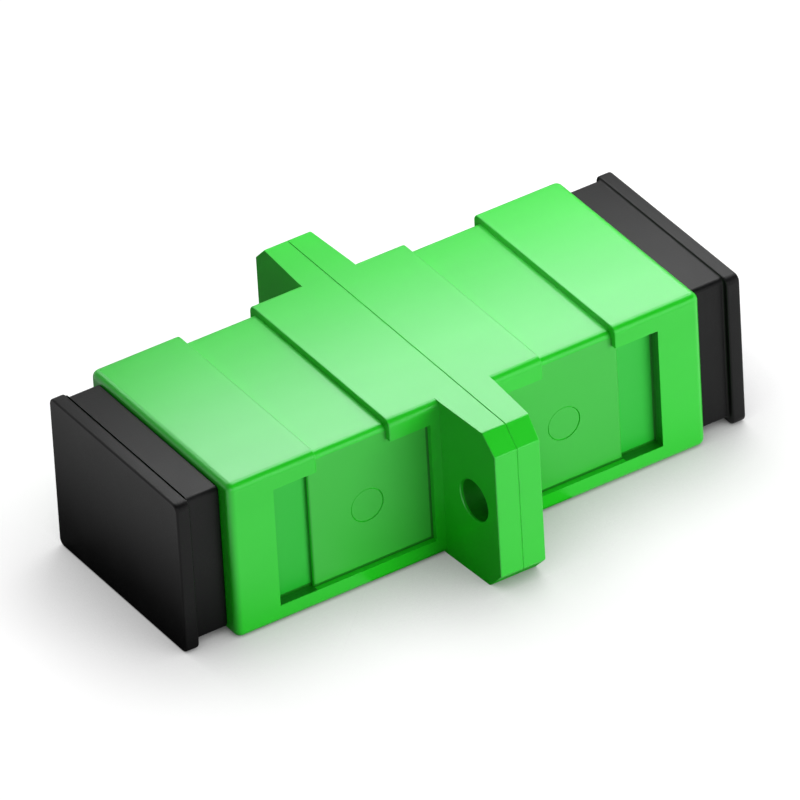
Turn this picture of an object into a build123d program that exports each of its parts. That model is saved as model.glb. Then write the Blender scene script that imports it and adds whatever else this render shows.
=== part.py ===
import os

from build123d import *

# Fibre adapter with a mounting flange, millimetres. X runs through both ports, Y along the flange
# and Z up. The origin is the middle of the flange, on the line of the ferrules.

# Housing
body_length = 28.0
body_width = 12.85
body_height = 9.25
edge_round = 0.42
end_round = 0.38
step_round = 0.12
round_limit = 0.95  # share of a wall or corner that a round on it may take
end_block_length = 5.15
centre_block_length = 9.1
clip_recess_depth = 0.36
port_width = 9.1
port_height = 7.4
port_lead_in = 0.25
key_slot_width = 2.6
key_slot_length = 4.8

# Recess in each long side
window_top_rail = 1.2
window_bottom_rail = 1.02
window_end_rail = 2.6
window_flange_rail = 0.55
label_recess_depth = 0.66
label_recess_length = 2.2
ejector_mark_diameter = 2.05
ejector_mark_depth = 0.04
ejector_mark_place = 5.85
ejector_mark_drop = 0.25

# Flange
flange_width = 22.0
flange_root_thickness = 3.2
flange_tip_thickness = 2.66
flange_corner = 1.0
flange_hole_edge_distance = 2.0
flange_hole_diameter = 2.3
weld_line = 0.06

# Alignment sleeve
sleeve_inner_diameter = 2.5
sleeve_outer_diameter = 3.2
sleeve_length = 11.4
sleeve_slit = 0.4
sleeve_edge_round = 0.08

# Latch cages
cage_plate_width = 10.2
cage_plate_thickness = 0.9
cage_fit = 0.1
barrel_wall = 0.75
barrel_lip_thickness = 0.5
barrel_lip_bore = 2.85
barrel_lead_in = 0.2
sleeve_play = 0.05
sleeve_end_play = 0.1
latch_arm_thickness = 0.7
latch_arm_width = 3.2
latch_arm_length = 6.1
latch_arm_inset = 0.2
latch_hook_height = 0.75
latch_hook_land = 0.25
latch_hook_ramp = 0.9
latch_flex_room = 0.15
latch_tip_room = 0.2

# Dust caps
cap_plate_thickness = 0.8
cap_plate_side_step = 0.475
cap_plate_top_step = 0.28
cap_plate_bottom_step = 0.025
cap_plate_bevel = 0.12
cap_corner_round = 0.4
cap_shoulder_length = 1.9
cap_shoulder_side_step = 0.825
cap_shoulder_top_step = 0.375
cap_shoulder_round = 0.25
cap_fit = 0.1
cap_skirt_wall = 0.9
cap_skirt_round = 0.5
cap_latch_gap = 0.6

# Places that follow from the sizes
half_length = body_length / 2
half_width = body_width / 2
half_height = body_height / 2
end_block_start = half_length - end_block_length
centre_block_end = centre_block_length / 2
recessed_top = half_height - clip_recess_depth
panel_plane = half_width - clip_recess_depth
window_start = flange_root_thickness / 2 + window_flange_rail
window_end = half_length - window_end_rail
window_bottom = -half_height + window_bottom_rail
window_top = half_height - window_top_rail
label_start = window_end - label_recess_length
clip_centre = (end_block_start + centre_block_end) / 2
clip_length = end_block_start - centre_block_end
mouth_wall = min(half_width - port_width / 2, half_height - port_height / 2)
mouth_round = min(end_round, round_limit * edge_round, round_limit * mouth_wall / 2)
mouth_lead_in = min(port_lead_in, round_limit * mouth_wall / 2)
flange_hole_pitch = flange_width - 2 * flange_hole_edge_distance
pocket_width = cage_plate_width + 2 * cage_fit
seat_depth = cage_plate_thickness + cage_fit
barrel_bore = sleeve_outer_diameter + 2 * sleeve_play
barrel_diameter = barrel_bore + 2 * barrel_wall
barrel_bore_depth = sleeve_length / 2 + sleeve_end_play
barrel_length = barrel_bore_depth + barrel_lip_thickness
latch_tip = cage_plate_thickness + latch_arm_length
latch_outer = cage_plate_width / 2 - latch_arm_inset
latch_inner = latch_outer - latch_arm_thickness
channel_width = latch_arm_width + 2 * cage_fit
skirt_width = port_width - 2 * cap_fit
skirt_height = port_height - 2 * cap_fit
skirt_end = latch_tip + cap_latch_gap
cap_plate_start = half_length + cap_shoulder_length
cap_plate_width = body_width - 2 * cap_plate_side_step
cap_plate_height = body_height - cap_plate_top_step - cap_plate_bottom_step
cap_plate_middle = (cap_plate_bottom_step - cap_plate_top_step) / 2
cap_shoulder_width = body_width - 2 * cap_shoulder_side_step
cap_shoulder_height = body_height - 2 * cap_shoulder_top_step


# One half of the housing, on the right of the weld line. Both halves come from one mould.
with BuildPart() as half_shell:
    # Outer block, with every long edge and the port end rounded
    with BuildSketch(Plane.YZ) as block_outline:
        RectangleRounded(body_width, body_height, edge_round)
    extrude(amount=half_length)
    port_end = half_shell.faces().sort_by(Axis.X)[-1]
    fillet(port_end.edges(), radius=mouth_round)

    # Flange ears, thicker at the body than at the tips, with cut corners
    with BuildSketch(Plane.XY.offset(-half_height)) as ear_plan:
        with BuildLine():
            Polyline(
                (0, -flange_width / 2),
                (flange_tip_thickness / 2, -flange_width / 2),
                (flange_root_thickness / 2, -half_width),
                (flange_root_thickness / 2, half_width),
                (flange_tip_thickness / 2, flange_width / 2),
                (0, flange_width / 2),
                close=True,
            )
        make_face()
    extrude(amount=body_height)
    ear_edges = half_shell.edges().filter_by(Axis.X)
    ear_corners = ear_edges.group_by(Axis.Y)[0] + ear_edges.group_by(Axis.Y)[-1]
    chamfer(ear_corners, length=flange_corner)

    # Seat for the panel clip, across the top and down both sides
    with BuildSketch(Plane.XY.offset(recessed_top)) as clip_seat:
        with Locations((clip_centre, 0)):
            Rectangle(clip_length, body_width)
    extrude(amount=clip_recess_depth, mode=Mode.SUBTRACT)
    for side in (-1, 1):
        with BuildSketch(Plane.XZ.offset(-side * half_width)) as clip_side:
            with Locations((clip_centre, (window_bottom + half_height) / 2)):
                Rectangle(clip_length, half_height - window_bottom)
        extrude(amount=side * clip_recess_depth, mode=Mode.SUBTRACT)

    # Window in each side, with the deeper label strip at its outer end
    for side in (-1, 1):
        with BuildSketch(Plane.XZ.offset(-side * half_width)) as window_outline:
            with Locations(((window_start + window_end) / 2, (window_bottom + window_top) / 2)):
                Rectangle(window_end - window_start, window_top - window_bottom)
        extrude(amount=side * clip_recess_depth, mode=Mode.SUBTRACT)
        with BuildSketch(Plane.XZ.offset(-side * half_width)) as label_outline:
            with Locations(((label_start + window_end) / 2, (window_bottom + window_top) / 2)):
                Rectangle(label_recess_length, window_top - window_bottom)
        extrude(amount=side * label_recess_depth, mode=Mode.SUBTRACT)

    # Round the edges of the recessed top and of the steps beside it
    sunk_top = half_shell.faces().filter_by(Axis.Z).group_by(Axis.Z)[-2].sort_by(Axis.X)[0]
    fillet(sunk_top.edges().filter_by(Axis.X), radius=edge_round)
    upper_rows = half_shell.edges().group_by(Axis.Z)[-1].filter_by(Axis.Y).group_by(Axis.X)
    fillet(upper_rows[-3] + upper_rows[-2], radius=step_round)

    # Port with its lead-in, seat for the cage plate and channels for the latch arms
    with BuildSketch(Plane.YZ) as port_outline:
        Rectangle(port_width, port_height)
    extrude(amount=half_length, mode=Mode.SUBTRACT)
    mouth = half_shell.faces().sort_by(Axis.X)[-1].inner_wires()[0]
    chamfer(mouth.edges(), length=mouth_lead_in)
    with BuildSketch(Plane.YZ) as seat_outline:
        Rectangle(pocket_width, port_height)
    extrude(amount=seat_depth, mode=Mode.SUBTRACT)
    with BuildSketch(Plane.YZ) as channel_outline:
        Rectangle(latch_outer * 2 + 2 * latch_flex_room, channel_width)
    extrude(amount=latch_tip + latch_tip_room, mode=Mode.SUBTRACT)

    # Key slot through the bottom wall, open at the mouth
    with BuildSketch(Plane.XY.offset(-half_height)) as key_slot:
        with Locations((half_length - key_slot_length / 2, 0)):
            Rectangle(key_slot_length, key_slot_width)
    extrude(amount=(body_height - port_height) / 2, mode=Mode.SUBTRACT)

    # Screw holes through the flange
    with BuildSketch(Plane.YZ) as screw_holes:
        with GridLocations(flange_hole_pitch, 0, 2, 1):
            Circle(flange_hole_diameter / 2)
    extrude(amount=flange_root_thickness / 2, mode=Mode.SUBTRACT)

    # Ejector pin marks in the side panels
    for side in (-1, 1):
        with BuildSketch(Plane.XZ.offset(-side * panel_plane)) as ejector_mark:
            with Locations((ejector_mark_place, -ejector_mark_drop)):
                Circle(ejector_mark_diameter / 2)
        extrude(amount=side * ejector_mark_depth, mode=Mode.SUBTRACT)

    # Fine groove round the weld line
    weld_face = half_shell.faces().sort_by(Axis.X)[0]
    chamfer(weld_face.outer_wire().edges(), length=weld_line)

with BuildPart() as housing_right:
    add(half_shell.part)

with BuildPart() as housing_left:
    add(half_shell.part, rotation=(0, 0, 180))


# Latch cage of the right port: plate, ferrule barrel and two spring arms with hooks
with BuildPart() as cage:
    with BuildSketch(Plane.YZ) as cage_plate:
        Rectangle(cage_plate_width, port_height - 2 * cage_fit)
    extrude(amount=cage_plate_thickness)
    with BuildSketch(Plane.YZ) as barrel_outline:
        Circle(barrel_diameter / 2)
    extrude(amount=barrel_length)
    barrel_face = cage.faces().sort_by(Axis.X)[-1]
    chamfer(barrel_face.outer_wire().edges(), length=barrel_lead_in)

    for side in (-1, 1):
        with BuildSketch(Plane.XY.offset(-latch_arm_width / 2)) as arm_plan:
            with BuildLine():
                Polyline(
                    (0, side * latch_outer),
                    (latch_tip, side * latch_outer),
                    (latch_tip, side * latch_inner),
                    (latch_tip - latch_hook_ramp, side * (latch_inner - latch_hook_height)),
                    (latch_tip - latch_hook_ramp - latch_hook_land, side * (latch_inner - latch_hook_height)),
                    (latch_tip - latch_hook_ramp - latch_hook_land, side * latch_inner),
                    (0, side * latch_inner),
                    close=True,
                )
            make_face()
        extrude(amount=latch_arm_width)

    # Bore for the sleeve, with the lip that keeps it in
    with BuildSketch(Plane.YZ) as sleeve_bore:
        Circle(barrel_bore / 2)
    extrude(amount=barrel_bore_depth, mode=Mode.SUBTRACT)
    with BuildSketch(Plane.YZ) as lip_bore:
        Circle(barrel_lip_bore / 2)
    extrude(amount=barrel_length, mode=Mode.SUBTRACT)
    lip_edges = cage.edges().filter_by(GeomType.CIRCLE).group_by(Axis.X)[-1].sort_by(SortBy.RADIUS)[0]
    chamfer(lip_edges, length=barrel_lead_in)

with BuildPart() as latch_cage_right:
    add(cage.part)

with BuildPart() as latch_cage_left:
    add(cage.part, rotation=(0, 0, 180))


# Split sleeve that lines up the two ferrules
with BuildPart() as alignment_sleeve:
    with BuildSketch(Plane.YZ.offset(-sleeve_length / 2)) as sleeve_section:
        Circle(sleeve_outer_diameter / 2)
        Circle(sleeve_inner_diameter / 2, mode=Mode.SUBTRACT)
    extrude(amount=sleeve_length)
    chamfer(alignment_sleeve.edges().filter_by(GeomType.CIRCLE), length=sleeve_edge_round)
    with BuildSketch(Plane.XY) as slit_outline:
        Rectangle(sleeve_length, sleeve_slit)
    extrude(amount=sleeve_outer_diameter / 2, mode=Mode.SUBTRACT)


# Dust cap of the right port: finger plate, shoulder and a hollow skirt that fills the port
with BuildPart() as dust_cap:
    with BuildSketch(Plane.YZ.offset(skirt_end)) as skirt_outline:
        RectangleRounded(skirt_width, skirt_height, cap_skirt_round)
    extrude(amount=half_length - skirt_end)
    skirt_face = dust_cap.faces().sort_by(Axis.X)[0]
    chamfer(skirt_face.edges(), length=mouth_lead_in)
    with BuildSketch(Plane.YZ.offset(half_length)) as shoulder_outline:
        RectangleRounded(cap_shoulder_width, cap_shoulder_height, cap_shoulder_round)
    extrude(amount=cap_shoulder_length)
    with BuildSketch(Plane.YZ.offset(cap_plate_start)) as plate_outline:
        with Locations((0, cap_plate_middle)):
            RectangleRounded(cap_plate_width, cap_plate_height, cap_corner_round)
    extrude(amount=cap_plate_thickness)
    chamfer(dust_cap.faces().sort_by(Axis.X)[-1].edges(), length=cap_plate_bevel)
    with BuildSketch(Plane.YZ.offset(skirt_end)) as skirt_hollow:
        RectangleRounded(skirt_width - 2 * cap_skirt_wall, skirt_height - 2 * cap_skirt_wall, cap_corner_round)
    extrude(amount=cap_plate_start - skirt_end, mode=Mode.SUBTRACT)

with BuildPart() as dust_cap_right:
    add(dust_cap.part)

with BuildPart() as dust_cap_left:
    add(dust_cap.part, rotation=(0, 0, 180))


housing_left.part.label = "housing_left"
housing_right.part.label = "housing_right"
latch_cage_left.part.label = "latch_cage_left"
latch_cage_right.part.label = "latch_cage_right"
alignment_sleeve.part.label = "alignment_sleeve"
dust_cap_left.part.label = "dust_cap_left"
dust_cap_right.part.label = "dust_cap_right"

os.makedirs("parts", exist_ok=True)
export_step(housing_left.part, "parts/housing_left.step")
export_step(housing_right.part, "parts/housing_right.step")
export_step(latch_cage_left.part, "parts/latch_cage_left.step")
export_step(latch_cage_right.part, "parts/latch_cage_right.step")
export_step(alignment_sleeve.part, "parts/alignment_sleeve.step")
export_step(dust_cap_left.part, "parts/dust_cap_left.step")
export_step(dust_cap_right.part, "parts/dust_cap_right.step")
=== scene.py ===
import math

import bmesh
import bpy
from mathutils import Matrix, Vector


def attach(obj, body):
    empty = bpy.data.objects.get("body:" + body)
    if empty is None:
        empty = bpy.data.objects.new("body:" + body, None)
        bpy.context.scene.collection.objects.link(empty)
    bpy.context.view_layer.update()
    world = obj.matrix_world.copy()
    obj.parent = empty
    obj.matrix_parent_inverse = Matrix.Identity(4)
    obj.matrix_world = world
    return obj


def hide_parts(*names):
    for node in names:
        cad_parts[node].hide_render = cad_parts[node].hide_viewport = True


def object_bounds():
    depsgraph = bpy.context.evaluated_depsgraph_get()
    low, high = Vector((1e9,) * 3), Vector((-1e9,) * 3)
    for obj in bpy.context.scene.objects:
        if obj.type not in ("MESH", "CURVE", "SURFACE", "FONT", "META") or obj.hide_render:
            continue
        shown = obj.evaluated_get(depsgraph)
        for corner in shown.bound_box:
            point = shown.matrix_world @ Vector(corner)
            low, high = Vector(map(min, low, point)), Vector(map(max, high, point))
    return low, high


# Looks of a fibre adapter. Pieces are drawn in millimetres and shrunk to metres when they are finished.
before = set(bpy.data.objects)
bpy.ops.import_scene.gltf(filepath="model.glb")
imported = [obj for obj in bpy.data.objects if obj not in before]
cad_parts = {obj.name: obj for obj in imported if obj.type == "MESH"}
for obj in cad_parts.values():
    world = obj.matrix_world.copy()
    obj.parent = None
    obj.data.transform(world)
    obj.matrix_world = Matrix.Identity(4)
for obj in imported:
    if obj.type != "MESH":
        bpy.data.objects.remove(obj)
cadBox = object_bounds()
print("frame loaded:", ", ".join(sorted(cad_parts)))

mm = 0.001
hair = 0.001  # millimetres that make no difference


# A wire is one socket that can be used in sums
class Wire:
    def __init__(self, tree, socket):
        self.tree = tree
        self.socket = socket

    def maths(self, operation, first, second):
        return self.tree.node("ShaderNodeMath", {"operation": operation}, {0: first, 1: second})

    def __add__(self, other):
        return self.maths("ADD", self, other)

    def __radd__(self, other):
        return self.maths("ADD", other, self)

    def __sub__(self, other):
        return self.maths("SUBTRACT", self, other)

    def __rsub__(self, other):
        return self.maths("SUBTRACT", other, self)

    def __mul__(self, other):
        return self.maths("MULTIPLY", self, other)

    def __rmul__(self, other):
        return self.maths("MULTIPLY", other, self)

    def __abs__(self):
        return self.tree.node("ShaderNodeMath", {"operation": "ABSOLUTE"}, {0: self})

    def between(self, low, high):
        # 1 from low to high, and 0 elsewhere
        limits = {0: self, 1: (low + high) / 2, 2: (high - low) / 2}
        return self.tree.node("ShaderNodeMath", {"operation": "COMPARE"}, limits)


class Tree:
    def __init__(self, group):
        self.group = group
        self.group.nodes.clear()

    def node(self, kind, settings, sockets, output=0):
        made = self.group.nodes.new(kind)
        for key, value in settings.items():
            if key == "stops":
                while len(made.color_ramp.elements) < len(value):
                    made.color_ramp.elements.new(1.0)
                for stop, (place, level) in zip(made.color_ramp.elements, value):
                    stop.position = place
                    stop.color = (level, level, level, 1.0)
            else:
                setattr(made, key, value)
        for key, value in sockets.items():
            if isinstance(value, Wire):
                self.group.links.new(value.socket, made.inputs[key])
            else:
                made.inputs[key].default_value = value
        return Wire(self, made.outputs[output]) if made.outputs else None

    def axes(self, vector):
        return [self.node("ShaderNodeSeparateXYZ", {}, {0: vector}, axis) for axis in range(3)]

    def seenRays(self):
        rays = ("Is Camera Ray", "Is Glossy Ray", "Is Transmission Ray")
        return [self.node("ShaderNodeLightPath", {}, {}, ray) for ray in rays]


class Finish(Tree):
    def __init__(self, name):
        self.material = bpy.data.materials.new(name)
        self.material.use_nodes = True
        super().__init__(self.material.node_tree)

    def place(self, stretch=(1.0, 1.0, 1.0)):
        coords = self.node("ShaderNodeTexCoord", {}, {}, "Object")
        return self.node("ShaderNodeMapping", {}, {"Vector": coords, "Scale": stretch})

    def millimetres(self):
        return self.axes(self.place((1 / mm, 1 / mm, 1 / mm)))

    def noise(self, vector, size, detail=2.0, roughness=0.5):
        sockets = {"Vector": vector, "Scale": 1.0 / (size * mm), "Detail": detail, "Roughness": roughness}
        return self.node("ShaderNodeTexNoise", {}, sockets)

    def ramp(self, value, stops):
        return self.node("ShaderNodeValToRGB", {"stops": stops}, {"Fac": value})

    def blendColour(self, factor, *colours):
        first, second = (colour if isinstance(colour, Wire) else (*colour, 1.0) for colour in colours)
        return self.node("ShaderNodeMix", {"data_type": "RGBA"}, {"Factor": factor, 6: first, 7: second}, 2)

    def bump(self, height, depth, strength, under=None):
        sockets = {"Height": height, "Strength": strength, "Distance": depth * mm}
        if under is not None:
            sockets["Normal"] = under
        return self.node("ShaderNodeBump", {}, sockets)

    def surface(self, sockets):
        shader = self.node("ShaderNodeBsdfPrincipled", {}, sockets)
        self.node("ShaderNodeOutputMaterial", {}, {"Surface": shader})
        return self.material


# The housing's sizes come first, because its finish and its painted shade change at the windows and holes
housing = {
    "length": 28.0, "width": 12.85, "height": 9.25,
    "edgeRound": 0.42, "seatRound": 0.378, "fineRound": 0.07, "dividerRound": 0.14,
    "endBlock": 5.15, "centreBlock": 9.1, "clipDepth": 0.36,
    "portWidth": 9.1, "portHeight": 7.4,
    "cageSeatLength": 1.0, "cageSeatWidth": 10.4,
    "channelLength": 7.2, "channelWidth": 10.1, "channelHeight": 3.4,
    "keySlotWidth": 2.6, "keySlotLength": 4.8,
    "windowTopRail": 1.2, "windowBottomRail": 1.02, "windowEndRail": 2.6, "windowFlangeRail": 0.55,
    "labelDepth": 0.66, "labelLength": 2.2,
    "flangeWidth": 22.0, "flangeRoot": 3.2, "flangeTip": 2.66, "flangeCorner": 1.0,
    "holePitch": 18.0, "holeDiameter": 2.3, "holeSides": 48,
    "weldLine": 0.035,
}

greenLook = {
    "colour": (0.017, 0.66, 0.014), "deepColour": (0.012, 0.62, 0.009), "cloudSize": 5.0,
    "roughness": 0.31, "patchiness": 0.05, "smearSize": 1.3,
    "gloss": 0.82, "sheenTint": (0.80, 0.93, 1.0, 1.0),
    # panel, strip, hole and corner colours are painted shade of the recesses, holes and inner corners
    "panelShadeColour": (0.040, 0.52, 0.040), "stripShadeColour": (0.016, 0.52, 0.028),
    "holeShadeColour": (0.006, 0.24, 0.005),
    "cornerShadeColour": (0.006, 0.20, 0.004), "cornerShadeLine": 0.11,
    "erodedRoughness": 0.16, "erodedSize": 0.16, "erodedDepth": 0.004,
    "grainSize": 0.11, "grainDepth": 0.0006,
    "waveSize": 3.2, "waveDepth": 0.006, "flow": 0.35,
}

blackLook = {
    "colour": (0.0035, 0.0035, 0.0037), "wornColour": (0.007, 0.007, 0.0073), "wear": 2.2,
    "roughness": 0.40, "cloudRoughness": 0.12, "grainRoughness": 0.16,
    "gloss": 0.18,
    "cloudSize": 2.4, "grainSize": 0.09, "grainDepth": 0.006,
}

cageLook = {
    "colour": (0.74, 0.71, 0.62), "shadeColour": (0.66, 0.62, 0.52), "cloudSize": 1.8,
    "roughness": 0.42, "grainRoughness": 0.15, "grainSize": 0.12, "grainDepth": 0.004, "refraction": 1.5,
}

sleeveLook = {
    "colour": (0.86, 0.84, 0.78), "shadeColour": (0.80, 0.78, 0.71),
    "roughness": 0.16, "ringRoughness": 0.12, "ringSize": 1.2, "ringLength": 14.0, "ringDepth": 0.003,
    "refraction": 2.1,
}


def housingDullAndShadeMasks(finish):
    # Panels, label strips, their inner corners and the walls of the screw holes, by place in millimetres:
    #     # masks for painted shade, and on panels and strips for a duller finish
    h = housing
    along, across, high = finish.millimetres()
    end, side = abs(along), abs(across)
    flat = 0.04  # how far from its plane a face may be
    top = 3.9  # the clip seat opens the windows up to here
    halfWidth, windowEnd = h["width"] / 2, h["length"] / 2 - h["windowEndRail"]
    # A hair more takes in the windows' end walls
    window = end.between(-windowEnd - hair, windowEnd + hair) * high.between(-top, top)
    panelPlane, stripPlane = halfWidth - h["clipDepth"], halfWidth - h["labelDepth"]
    # panel and strip carry painted shade in their recesses, and a duller finish
    panel = side.between(panelPlane - flat, panelPlane + flat) * window
    strip = side.between(stripPlane - flat, stripPlane + flat) * window
    # The painted corner shade has no line at the top, where the clip seat is flush with the panel
    line, close = greenLook["cornerShadeLine"], 0.05
    windowStart = h["flangeRoot"] / 2 + h["windowFlangeRail"]
    windowLow = h["windowBottomRail"] - h["height"] / 2
    inner = end.between(windowStart + line, windowEnd - line) * high.between(windowLow + line, top)
    stripWallShade = (end.between(windowEnd - h["labelLength"], windowEnd + close)
                  * side.between(stripPlane + close, halfWidth - close) * high.between(-top, top))
    # corner is painted shade along the windows' inner corners and the label strips' walls
    corner = (panel + strip) * (1.0 - inner) + stripWallShade
    # The painted shade in the screw holes stops at the flange's tip, which is thinner than the flange at the
    # holes, so they keep a thin pale rim
    holeReach, holePlace, tip = h["holeDiameter"] / 2 + close, h["holePitch"] / 2, h["flangeTip"] / 2
    holeShade = (side.between(holePlace - holeReach, holePlace + holeReach)
            * high.between(-holeReach, holeReach) * along.between(-tip, tip))
    return panel, strip, corner, holeShade


def greenPlastic():
    look = greenLook
    finish = Finish("greenPlastic")
    spot = finish.place()
    flow = finish.place((look["flow"], 1.0, 1.0))  # the melt flows away from the flange, along X
    cloud = finish.noise(flow, look["cloudSize"], detail=3.0)
    cloud = finish.ramp(cloud, stops=[(0.35, 0.0), (0.65, 1.0)])
    colour = finish.blendColour(cloud, look["colour"], look["deepColour"])
    # Painted shade: recessed panels and label strips are painted darker, and inner corners and screw holes
    #     # darker still, where little light gets in
    dullAndShadeMasks = housingDullAndShadeMasks(finish)
    for mask, shadeTint in zip(dullAndShadeMasks, ("panelShadeColour", "stripShadeColour", "cornerShadeColour", "holeShadeColour")):
        colour = finish.blendColour(mask, colour, look[shadeTint])
    # Panels and strips were eroded in the mould, so they are duller
    dull = dullAndShadeMasks[0] + dullAndShadeMasks[1]
    grain = finish.noise(spot, look["grainSize"], detail=3.0, roughness=0.6)
    smear = finish.noise(flow, look["smearSize"], detail=4.0)
    patches = (smear - 0.5) * look["patchiness"] + (grain - 0.5) * look["patchiness"]
    rough = look["roughness"] + patches + dull * look["erodedRoughness"]
    wave = finish.noise(flow, look["waveSize"], detail=2.0)
    swell = finish.bump(wave, look["waveDepth"], strength=0.25)
    pits = finish.noise(spot, look["erodedSize"], detail=3.0, roughness=0.6) * dull
    eroded = finish.bump(pits, look["erodedDepth"], strength=0.5, under=swell)
    skin = finish.bump(grain, look["grainDepth"], strength=0.5, under=eroded)
    return finish.surface({"Base Color": colour, "Roughness": rough, "Normal": skin,
                           "Specular IOR Level": look["gloss"], "Specular Tint": look["sheenTint"]})


def blackPlastic():
    look = blackLook
    finish = Finish("blackPlastic")
    spot = finish.place()
    grain = finish.noise(spot, look["grainSize"], detail=4.0, roughness=0.65)
    cloud = finish.noise(spot, look["cloudSize"], detail=3.0)
    dust = finish.ramp(grain * cloud * look["wear"], stops=[(0.55, 0.0), (0.9, 1.0)])
    colour = finish.blendColour(dust, look["colour"], look["wornColour"])
    patches = (cloud - 0.5) * look["cloudRoughness"] + (grain - 0.5) * look["grainRoughness"]
    skin = finish.bump(grain, look["grainDepth"], strength=0.6)
    return finish.surface({"Base Color": colour, "Roughness": look["roughness"] + patches, "Normal": skin,
                           "Specular IOR Level": look["gloss"]})


def cagePlastic():
    look = cageLook
    finish = Finish("cagePlastic")
    spot = finish.place()
    grain = finish.noise(spot, look["grainSize"], detail=3.0)
    cloud = finish.noise(spot, look["cloudSize"], detail=3.0)
    colour = finish.blendColour(cloud, look["colour"], look["shadeColour"])
    rough = look["roughness"] + (grain - 0.5) * look["grainRoughness"]
    skin = finish.bump(grain, look["grainDepth"], strength=0.4)
    return finish.surface({"Base Color": colour, "Roughness": rough, "Normal": skin,
                           "IOR": look["refraction"]})


def sleeveCeramic():
    look = sleeveLook
    finish = Finish("sleeveCeramic")
    ground = finish.place((look["ringLength"], 1.0, 1.0))
    rings = finish.noise(ground, look["ringSize"], detail=3.0)  # fine rings left by grinding
    colour = finish.blendColour(rings, look["colour"], look["shadeColour"])
    rough = look["roughness"] + (rings - 0.5) * look["ringRoughness"]
    skin = finish.bump(rings, look["ringDepth"], strength=0.3)
    return finish.surface({"Base Color": colour, "Roughness": rough, "Normal": skin,
                           "IOR": look["refraction"]})


green = greenPlastic()
black = blackPlastic()
natural = cagePlastic()
ceramic = sleeveCeramic()
print("finishes mixed")


# Solid helpers, all in millimetres
def asObject(mesh, name="draft"):
    item = bpy.data.objects.new(name, mesh)
    bpy.context.collection.objects.link(item)
    return item


def fromBmesh(work, name="draft"):
    mesh = bpy.data.meshes.new(name)
    work.to_mesh(mesh)
    work.free()
    return asObject(mesh, name)


def prism(outline, axis, low, high):
    # Outline points are the two other axes in X, Y, Z order
    order = {"X": (1, 2, 0), "Y": (0, 2, 1), "Z": (0, 1, 2)}[axis]
    work = bmesh.new()
    rows = []
    for level in (low, high):
        row = []
        for first, second in outline:
            spot = [0.0, 0.0, 0.0]
            spot[order[0]], spot[order[1]], spot[order[2]] = first, second, level
            row.append(work.verts.new(spot))
        rows.append(row)
    work.faces.new(rows[0])
    work.faces.new(rows[1])
    count = len(outline)
    for i in range(count):
        j = (i + 1) % count
        work.faces.new((rows[0][i], rows[0][j], rows[1][j], rows[1][i]))
    bmesh.ops.recalc_face_normals(work, faces=work.faces)
    return fromBmesh(work)


def block(x, y, z):
    return prism([(x[0], y[0]), (x[1], y[0]), (x[1], y[1]), (x[0], y[1])], "Z", z[0], z[1])


def centred(x, width, height):
    return block(x, (-width / 2, width / 2), (-height / 2, height / 2))


def circle(radius, count, centre=(0.0, 0.0)):
    turn = [2 * math.pi * i / count for i in range(count)]
    return [(centre[0] + radius * math.cos(a), centre[1] + radius * math.sin(a)) for a in turn]


def turned(profile, count):
    # A solid turned about Z, whose profile of radius and height starts and ends on the axis
    work = bmesh.new()
    top, bottom = (work.verts.new((0, 0, profile[i][1])) for i in (0, -1))
    rings = [[work.verts.new((x, y, height)) for x, y in circle(radius, count)]
             for radius, height in profile[1:-1]]
    for i in range(count):
        j = (i + 1) % count
        work.faces.new((top, rings[0][i], rings[0][j]))
        work.faces.new((bottom, rings[-1][j], rings[-1][i]))
        for upper, lower in zip(rings, rings[1:]):
            work.faces.new((upper[i], lower[i], lower[j], upper[j]))
    bmesh.ops.recalc_face_normals(work, faces=work.faces)
    return fromBmesh(work)


def roundedRectangle(width, height, radius, steps=6, centre=(0.0, 0.0)):
    points = []
    for corner, (sx, sy) in enumerate([(1, 1), (-1, 1), (-1, -1), (1, -1)]):
        for i in range(steps + 1):
            a = math.pi / 2 * (corner + i / steps)
            points.append((centre[0] + sx * (width / 2 - radius) + radius * math.cos(a),
                           centre[1] + sy * (height / 2 - radius) + radius * math.sin(a)))
    return points


def settle(item):
    # Applies the modifiers
    graph = bpy.context.evaluated_depsgraph_get()
    mesh = bpy.data.meshes.new_from_object(item.evaluated_get(graph))
    item.modifiers.clear()
    item.data = mesh
    return item


def combine(item, tools, operation):
    for tool in tools:
        step = item.modifiers.new(operation, "BOOLEAN")
        step.operation = operation
        step.solver = "EXACT"
        step.object = tool
        settle(item)
        bpy.data.objects.remove(tool)
    return item


def softenEdges(item, width, segments, wanted):
    work = bmesh.new()
    work.from_mesh(item.data)
    bmesh.ops.remove_doubles(work, verts=work.verts, dist=hair)
    bmesh.ops.dissolve_limit(work, angle_limit=math.radians(1.0), verts=work.verts, edges=work.edges)
    edges = [edge for edge in work.edges if len(edge.link_faces) == 2 and wanted(edge)]
    bmesh.ops.bevel(
        work, geom=edges, offset=width, offset_type="OFFSET", segments=segments, profile=0.5,
        affect="EDGES", clamp_overlap=False, miter_outer="ARC" if segments > 1 else "SHARP",
    )
    work.to_mesh(item.data)
    work.free()
    return item


def turnedPair(draft):
    # The left piece is the right one turned half a turn about Z
    pair = {}
    for side, turn in (("right", 0.0), ("left", math.pi)):
        pair[side] = draft.data.copy()
        pair[side].transform(Matrix.Rotation(turn, 4, "Z"))
    bpy.data.objects.remove(draft)
    return pair


creaseAngle = 38.0  # degrees, from which an edge is shaded sharp


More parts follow.
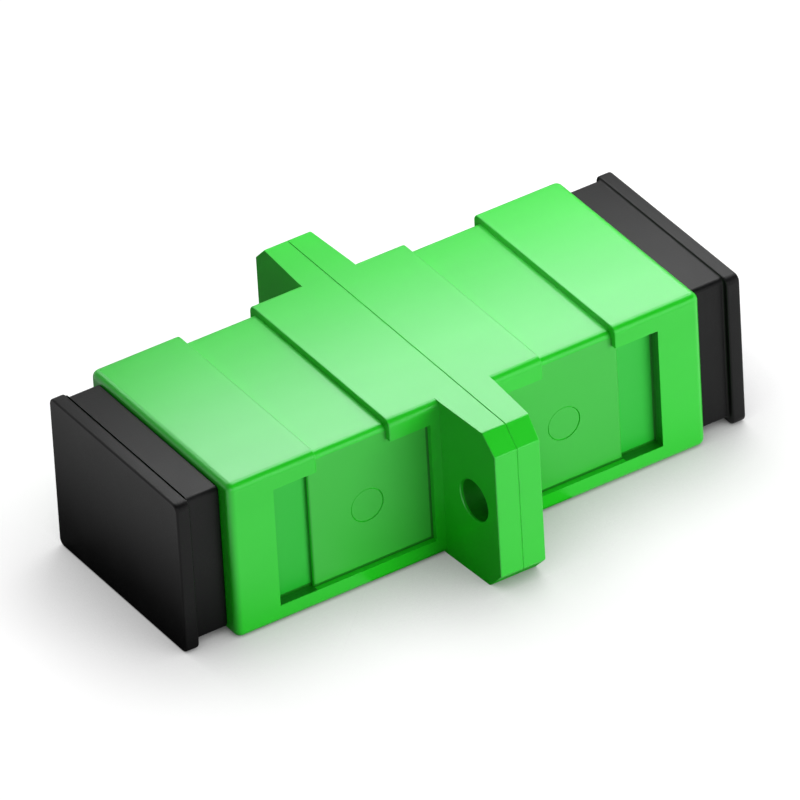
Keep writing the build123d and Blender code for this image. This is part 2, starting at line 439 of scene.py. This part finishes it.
def finishPiece(item, name, material, body, nodes):
    mesh = item.data
    mesh.transform(Matrix.Scale(mm, 4))
    mesh.materials.clear()
    mesh.materials.append(material)
    for face in mesh.polygons:
        face.use_smooth = True
        face.material_index = 0
    item.name = name
    mesh.name = name
    mesh.set_sharp_from_angle(angle=math.radians(creaseAngle))
    weigh = item.modifiers.new("flatFaces", "WEIGHTED_NORMAL")
    weigh.keep_sharp = True
    weigh.weight = 100  # large flat faces stay flat beside their rounds
    settle(item)
    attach(item, body)
    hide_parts(*nodes)
    return item


# Which edges of a housing half are softened
slack = 0.01  # places this close count as one
sharpAngle = 35.0  # degrees, from which an edge is sharp enough to be softened


def sharpEdge(edge):
    return edge.calc_face_angle(0.0) > math.radians(sharpAngle)


def onWeld(edge):
    return all(abs(v.co.x) < slack for v in edge.verts)


def outerEdge(edge):
    return sharpEdge(edge) and edge.is_convex and not onWeld(edge)


def nearRoot(edge):
    # Where the flange leaves the rounded long edges the shapes are too small to soften
    root, side, high = housing["flangeRoot"] / 2, housing["width"] / 2, housing["height"] / 2
    close = 2 * slack
    reach = housing["edgeRound"] + close
    return any(abs(v.co.x - root) < close and side - reach < abs(v.co.y) < side + close
               and abs(v.co.z) > high - reach for v in edge.verts)


def weldEdge(edge):
    # Only the outline of the weld, not the edges of the port and the cage seat
    margin = 0.1
    side, high = housing["cageSeatWidth"] / 2 + margin, housing["portHeight"] / 2 + margin
    inside = all(abs(v.co.y) < side and abs(v.co.z) < high for v in edge.verts)
    return sharpEdge(edge) and onWeld(edge) and not inside


# Marks of the mould's ejector pins: a sunk disc with a groove round it
ejectorMark = {"diameter": 1.87, "place": 5.85, "drop": 0.06, "sink": 0.025,
               "groove": 0.06, "grooveDepth": 0.07, "sides": 64}


def ejectorCutters(panel):
    # Nodes repeat one cutter on both side panels
    m = ejectorMark
    rim, half, above = m["diameter"] / 2, m["groove"] / 2, 1.0
    cutter = turned([(0, above), (rim + half, above), (rim + half, 0), (rim, -m["grooveDepth"]),
                     (rim - half, -m["sink"]), (0, -m["sink"])], m["sides"])
    marks = Tree(bpy.data.node_groups.new("ejectorMarks", "GeometryNodeTree"))
    for name, direction, kind in (("Shape", "INPUT", "Geometry"), ("Panel", "INPUT", "Float"),
                                  ("Place", "INPUT", "Float"), ("Drop", "INPUT", "Float"),
                                  ("Marks", "OUTPUT", "Geometry")):
        marks.group.interface.new_socket(name, in_out=direction, socket_type="NodeSocket" + kind)
    shape, wide, along, down = (marks.node("NodeGroupInput", {}, {}, name)
                                for name in ("Shape", "Panel", "Place", "Drop"))
    side = marks.node("GeometryNodeInputIndex", {}, {}) * 2 - 1
    spot = marks.node("ShaderNodeCombineXYZ", {}, {0: along, 1: side * wide, 2: 0 - down})
    points = marks.node("GeometryNodePoints", {}, {"Count": 2, "Position": spot})
    tilt = marks.node("ShaderNodeCombineXYZ", {}, {0: side * (-math.pi / 2)})
    turn = marks.node("FunctionNodeEulerToRotation", {}, {0: tilt})
    copies = marks.node("GeometryNodeInstanceOnPoints", {},
                        {"Points": points, "Instance": shape, "Rotation": turn})
    real = marks.node("GeometryNodeRealizeInstances", {}, {0: copies})
    dressed = marks.node("GeometryNodeSetMaterial", {}, {"Geometry": real, "Material": green})
    marks.node("NodeGroupOutput", {}, {0: dressed})
    step = cutter.modifiers.new("ejectorMarks", "NODES")
    step.node_group = marks.group
    sizes = {"Panel": panel, "Place": m["place"], "Drop": m["drop"]}
    for socket in marks.group.interface.items_tree:
        if socket.name in sizes:
            step[socket.identifier] = sizes[socket.name]
    return settle(cutter)


# Housing half: one mould, used twice and welded at the flange
def housingHalf():
    h = housing
    halfLength, halfWidth, halfHeight = h["length"] / 2, h["width"] / 2, h["height"] / 2
    blockStart = halfLength - h["endBlock"]
    blockEnd = h["centreBlock"] / 2
    sunkTop = halfHeight - h["clipDepth"]
    panel = halfWidth - h["clipDepth"]
    windowStart = h["flangeRoot"] / 2 + h["windowFlangeRail"]
    windowEnd = halfLength - h["windowEndRail"]
    windowLow, windowHigh = h["windowBottomRail"] - halfHeight, halfHeight - h["windowTopRail"]
    labelStart = windowEnd - h["labelLength"]
    over = 3.0  # how far a cutter runs past the solid

    shell = block((0, halfLength), (-halfWidth, halfWidth), (-halfHeight, halfHeight))
    softenEdges(shell, h["edgeRound"], 6, lambda edge: sharpEdge(edge) and not onWeld(edge))

    tip, root, wide = h["flangeTip"] / 2, h["flangeRoot"] / 2, h["flangeWidth"] / 2
    ears = prism([(0, -wide), (tip, -wide), (root, -halfWidth), (root, halfWidth), (tip, wide), (0, wide)],
                 "Z", -halfHeight, halfHeight)
    corners = []
    for sideY in (-1, 1):
        for sideZ in (-1, 1):
            edgeY, edgeZ, cut = sideY * wide, sideZ * halfHeight, h["flangeCorner"]
            corners.append(prism([(edgeY, edgeZ - sideZ * cut), (edgeY + sideY, edgeZ - sideZ * cut),
                                  (edgeY + sideY, edgeZ + sideZ), (edgeY - sideY * cut, edgeZ + sideZ),
                                  (edgeY - sideY * cut, edgeZ)], "X", -1, over))
    combine(ears, corners, "DIFFERENCE")
    combine(shell, [ears], "UNION")

    # Clip seat across the top, then the windows and the deeper label strips
    cuts = [block((blockEnd, blockStart), (-halfWidth - over, halfWidth + over),
                  (sunkTop, halfHeight + over))]
    for side in (-1, 1):
        def band(depth):
            return sorted((side * (halfWidth - depth), side * (halfWidth + over)))
        cuts.append(block((blockEnd, blockStart), band(h["clipDepth"]), (windowLow, halfHeight + over)))
        cuts.append(block((windowStart, windowEnd), band(h["clipDepth"]), (windowLow, windowHigh)))
        cuts.append(block((labelStart, windowEnd), band(h["labelDepth"]), (windowLow, windowHigh)))
    combine(shell, cuts, "DIFFERENCE")

    def seatEdge(edge):
        ends = [v.co for v in edge.verts]
        onSeat = all(abs(co.z - sunkTop) < slack and abs(abs(co.y) - panel) < slack for co in ends)
        return onSeat and ends[0].y * ends[1].y > 0
    softenEdges(shell, h["seatRound"], 5, seatEdge)

    def dividerEdge(edge):
        return sharpEdge(edge) and edge.is_convex and all(
            abs(v.co.x - labelStart) < slack and abs(abs(v.co.y) - panel) < slack for v in edge.verts)
    softenEdges(shell, h["dividerRound"], 3, dividerEdge)

    port = centred((-over, halfLength + over), h["portWidth"], h["portHeight"])
    seat = centred((-over, h["cageSeatLength"]), h["cageSeatWidth"], h["portHeight"])
    channel = centred((-over, h["channelLength"]), h["channelWidth"], h["channelHeight"])
    keySlot = block((halfLength - h["keySlotLength"], halfLength + over),
                    (-h["keySlotWidth"] / 2, h["keySlotWidth"] / 2), (-halfHeight - over, 0))
    holes = [prism(circle(h["holeDiameter"] / 2, h["holeSides"], (side * h["holePitch"] / 2, 0)),
                   "X", -over, over) for side in (-1, 1)]
    combine(shell, [port, seat, channel, keySlot] + holes, "DIFFERENCE")

    def windowEdge(edge):
        # The rims of the windows stay crisp
        rimDepth, close = 0.4, 2 * slack
        return all(abs(v.co.y) > halfWidth - rimDepth
                   and windowLow - close < v.co.z < windowHigh + close
                   and windowStart - close < v.co.x < windowEnd + close for v in edge.verts)
    softenEdges(shell, h["fineRound"], 3,
                lambda edge: outerEdge(edge) and not nearRoot(edge) and not windowEdge(edge))
    softenEdges(shell, h["weldLine"], 1, weldEdge)
    combine(shell, [ejectorCutters(panel)], "DIFFERENCE")
    return shell


for side, mesh in turnedPair(housingHalf()).items():
    finishPiece(asObject(mesh), "housing" + side.capitalize(), green,
                "housing", ["housing_" + side])
print("housing halves moulded")


# Dust caps: plate, shoulder and hollow skirt
cap = {
    "plateWidth": 11.9, "plateHeight": 8.945, "plateThickness": 0.8, "plateDrop": 0.1275,
    "cornerRound": 0.4, "shoulderRound": 0.25,
    "shoulderWidth": 11.2, "shoulderHeight": 8.5, "shoulderLength": 1.9,
    "skirtStart": 7.6, "skirtWall": 0.9, "fit": 0.1, "skirtRound": 0.5,
    "fineRound": 0.12,
}


def dustCap():
    c = cap
    mouth = housing["length"] / 2
    plateStart = mouth + c["shoulderLength"]
    plateEnd = plateStart + c["plateThickness"]
    overlap = 0.3  # how far joined solids run into each other
    skirtWidth, skirtHeight = housing["portWidth"] - 2 * c["fit"], housing["portHeight"] - 2 * c["fit"]
    solid = prism(roundedRectangle(c["plateWidth"], c["plateHeight"], c["cornerRound"],
                                   centre=(0, -c["plateDrop"])), "X", plateStart, plateEnd)
    shoulder = prism(roundedRectangle(c["shoulderWidth"], c["shoulderHeight"], c["shoulderRound"]),
                     "X", mouth, plateStart + overlap)
    skirt = prism(roundedRectangle(skirtWidth, skirtHeight, c["skirtRound"]),
                  "X", c["skirtStart"], mouth + overlap)
    combine(solid, [shoulder, skirt], "UNION")
    hollow = prism(roundedRectangle(skirtWidth - 2 * c["skirtWall"], skirtHeight - 2 * c["skirtWall"],
                                    c["cornerRound"]), "X", 0, plateStart)
    combine(solid, [hollow], "DIFFERENCE")
    softenEdges(solid, c["fineRound"], 3, sharpEdge)
    return solid


for side, mesh in turnedPair(dustCap()).items():
    finishPiece(asObject(mesh), "dustCap" + side.capitalize(), black,
                side + "_cap", ["dust_cap_" + side])
print("dust caps moulded")

innerPieces = {"latch_cage_left": natural, "latch_cage_right": natural, "alignment_sleeve": ceramic}
for node, material in innerPieces.items():
    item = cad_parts[node]
    item.data.materials.clear()
    item.data.materials.append(material)
print("inner pieces dressed")


# Stage: white floor that keeps the shadow, partly real and partly painted, and a sky that is white all round
# and dim overhead
stage = {
    "floorSize": 3.0, "shadowReach": 7.5,
    "seenFloor": 0.32, "floorGlow": 0.84,
    "bounceFloor": 0.45, "shadeFloor": 0.10,
    "mirrorAlong": 0.6, "mirrorAcross": 1.7, "mirrored": 0.1, "mirrorFade": 12.0,
    "endMirror": -18.5, "endFade": 6.0,
    "footLength": 12.0, "footWidth": 21.0,
    "skyLow": 1.1, "skyFade": 1.4, "worldLevel": 0.02,
}


def buildFloor():
    s = stage
    finish = Finish("paperFloor")

    def grey(level):
        return finish.node("ShaderNodeBsdfDiffuse", {}, {"Color": (level, level, level, 1.0)})

    # Painted shade in the floor's reflection: paper behind the adapter and by the flange's foot lies in its
    # shade,
    #     # so a painted mask makes it mirror less than paper in front or past the left end
    direct, glossy, through = finish.seenRays()
    along, across = finish.millimetres()[:2]
    front = (along * s["mirrorAlong"] - across * s["mirrorAcross"]) * (1 / s["mirrorFade"]) + s["mirrored"]
    left = (s["endMirror"] - along) * (1 / s["endFade"])
    # painted mask of where the floor's reflection is bright
    paintedMirror = finish.node("ShaderNodeMath", {"operation": "MAXIMUM", "use_clamp": True}, {0: front, 1: left})
    footLength, footWidth = s["footLength"] / 2, s["footWidth"] / 2
    foot = along.between(-footLength, footLength) * across.between(-footWidth, footWidth)
    seen = direct + through + glossy * paintedMirror * (1.0 - foot)
    # What is seen is white paper whose glow is darkened close to the adapter by a painted shadow, and less
    # of its light comes back
    reach = {"Distance": s["shadowReach"] * mm}
    clear = finish.node("ShaderNodeAmbientOcclusion", {"samples": 8}, reach, "AO")
    glow = finish.node("ShaderNodeEmission", {}, {"Strength": s["floorGlow"]})
    shaded = finish.node("ShaderNodeMixShader", {}, {0: clear, 2: glow})
    bright = finish.node("ShaderNodeAddShader", {}, {0: grey(s["seenFloor"]), 1: shaded})
    bounce, shade = grey(s["bounceFloor"]), grey(s["shadeFloor"])
    plain = finish.node("ShaderNodeMixShader", {}, {0: glossy, 1: bounce, 2: shade})
    both = finish.node("ShaderNodeMixShader", {}, {0: seen, 1: plain, 2: bright})
    finish.node("ShaderNodeOutputMaterial", {}, {"Surface": both})

    size, level = s["floorSize"], cadBox[0][2]
    work = bmesh.new()
    corners = [work.verts.new((x * size, y * size, level)) for x, y in ((-1, -1), (1, -1), (1, 1), (-1, 1))]
    work.faces.new(corners)
    floor = fromBmesh(work, "floor")
    floor.data.materials.append(finish.material)


def buildSky():
    world = bpy.data.worlds.new("studio")
    bpy.context.scene.world = world
    world.use_nodes = True
    sky = Tree(world.node_tree)
    direct, glossy, through = sky.seenRays()
    height = sky.axes(sky.node("ShaderNodeTexCoord", {}, {}, "Generated"))[2]
    pale = sky.node("ShaderNodeClamp", {}, {0: stage["skyLow"] - stage["skyFade"] * height})
    dim, white = (sky.node("ShaderNodeBackground", {}, {"Color": (1, 1, 1, 1), "Strength": level})
                  for level in (stage["worldLevel"], 1.0))
    both = sky.node("ShaderNodeMixShader", {}, {0: direct + through + glossy * pale, 1: dim, 2: white})
    sky.node("ShaderNodeOutputWorld", {}, {0: both})


# Soft boxes: middle, the point that it faces and the two sides, all in millimetres, and watts
lamps = {
    "keyBox": {"place": (111, -218, 52), "sides": (180, 115), "power": 0.46, "mirrored": False},
    "sideBox": {"place": (213, -123, 43), "power": 0.04},
    "topBox": {"place": (85, 55, 228), "power": 0.21},
    "behindBox": {"place": (-17, 196, 154), "power": 0.114},
    "leftBox": {"place": (-117, -203, 86), "power": 0.072},
    "overBox": {"place": (-125, 0, 216), "power": 0.018},
    "edgeBox": {"place": (38, 30, 44), "aim": (38, 0, 26), "sides": (80, 12), "power": 0.0085},
    "rimBox": {"place": (25, 20, 26), "aim": (25, 0, 14), "sides": (60, 8), "power": 0.0077},
}


def softBox(name, place, power, aim=(0, 0, 0), sides=(120, 120), mirrored=True):
    lamp = bpy.data.lights.new(name, "AREA")
    lamp.shape = "RECTANGLE"
    lamp.size, lamp.size_y = (side * mm for side in sides)
    lamp.energy = power
    item = bpy.data.objects.new(name, lamp)
    bpy.context.collection.objects.link(item)
    item.location = Vector(place) * mm
    item.rotation_euler = (Vector(place) - Vector(aim)).to_track_quat("Z", "Y").to_euler()
    item.visible_camera = False
    item.visible_glossy = mirrored  # from behind, the key's reflection would wash out the tops


photoCamera = {
    "azimuth": -30.994, "elevation": 34.904, "roll": -3.42,
    "distance": 782.8, "target": (0.351, 0.514, 0.0),
    "focal": 15645.0, "frame": 800, "sensor": 36.0,  # focal length and frame in pixels
}


def buildCamera():
    c = photoCamera
    az, el, roll = (math.radians(c[key]) for key in ("azimuth", "elevation", "roll"))
    back = Vector((math.sin(az) * math.cos(el), -math.cos(az) * math.cos(el), math.sin(el)))
    right = Vector((math.cos(az), math.sin(az), 0.0))
    up = back.cross(right)
    turnedRight = right * math.cos(roll) + up * math.sin(roll)
    turnedUp = up * math.cos(roll) - right * math.sin(roll)
    view = bpy.data.cameras.new("photoView")
    view.sensor_width = c["sensor"]
    view.lens = c["focal"] / c["frame"] * view.sensor_width
    view.clip_start, view.clip_end = 0.05, 20.0
    item = bpy.data.objects.new("photoView", view)
    bpy.context.collection.objects.link(item)
    spin = Matrix((turnedRight, turnedUp, back)).transposed()
    item.matrix_world = Matrix.Translation((Vector(c["target"]) + back * c["distance"]) * mm) @ spin.to_4x4()
    bpy.context.scene.camera = item


buildFloor()
for name, lamp in lamps.items():
    softBox(name, **lamp)
buildSky()
buildCamera()
bpy.context.scene.view_settings.view_transform = "Standard"
print("stage set")
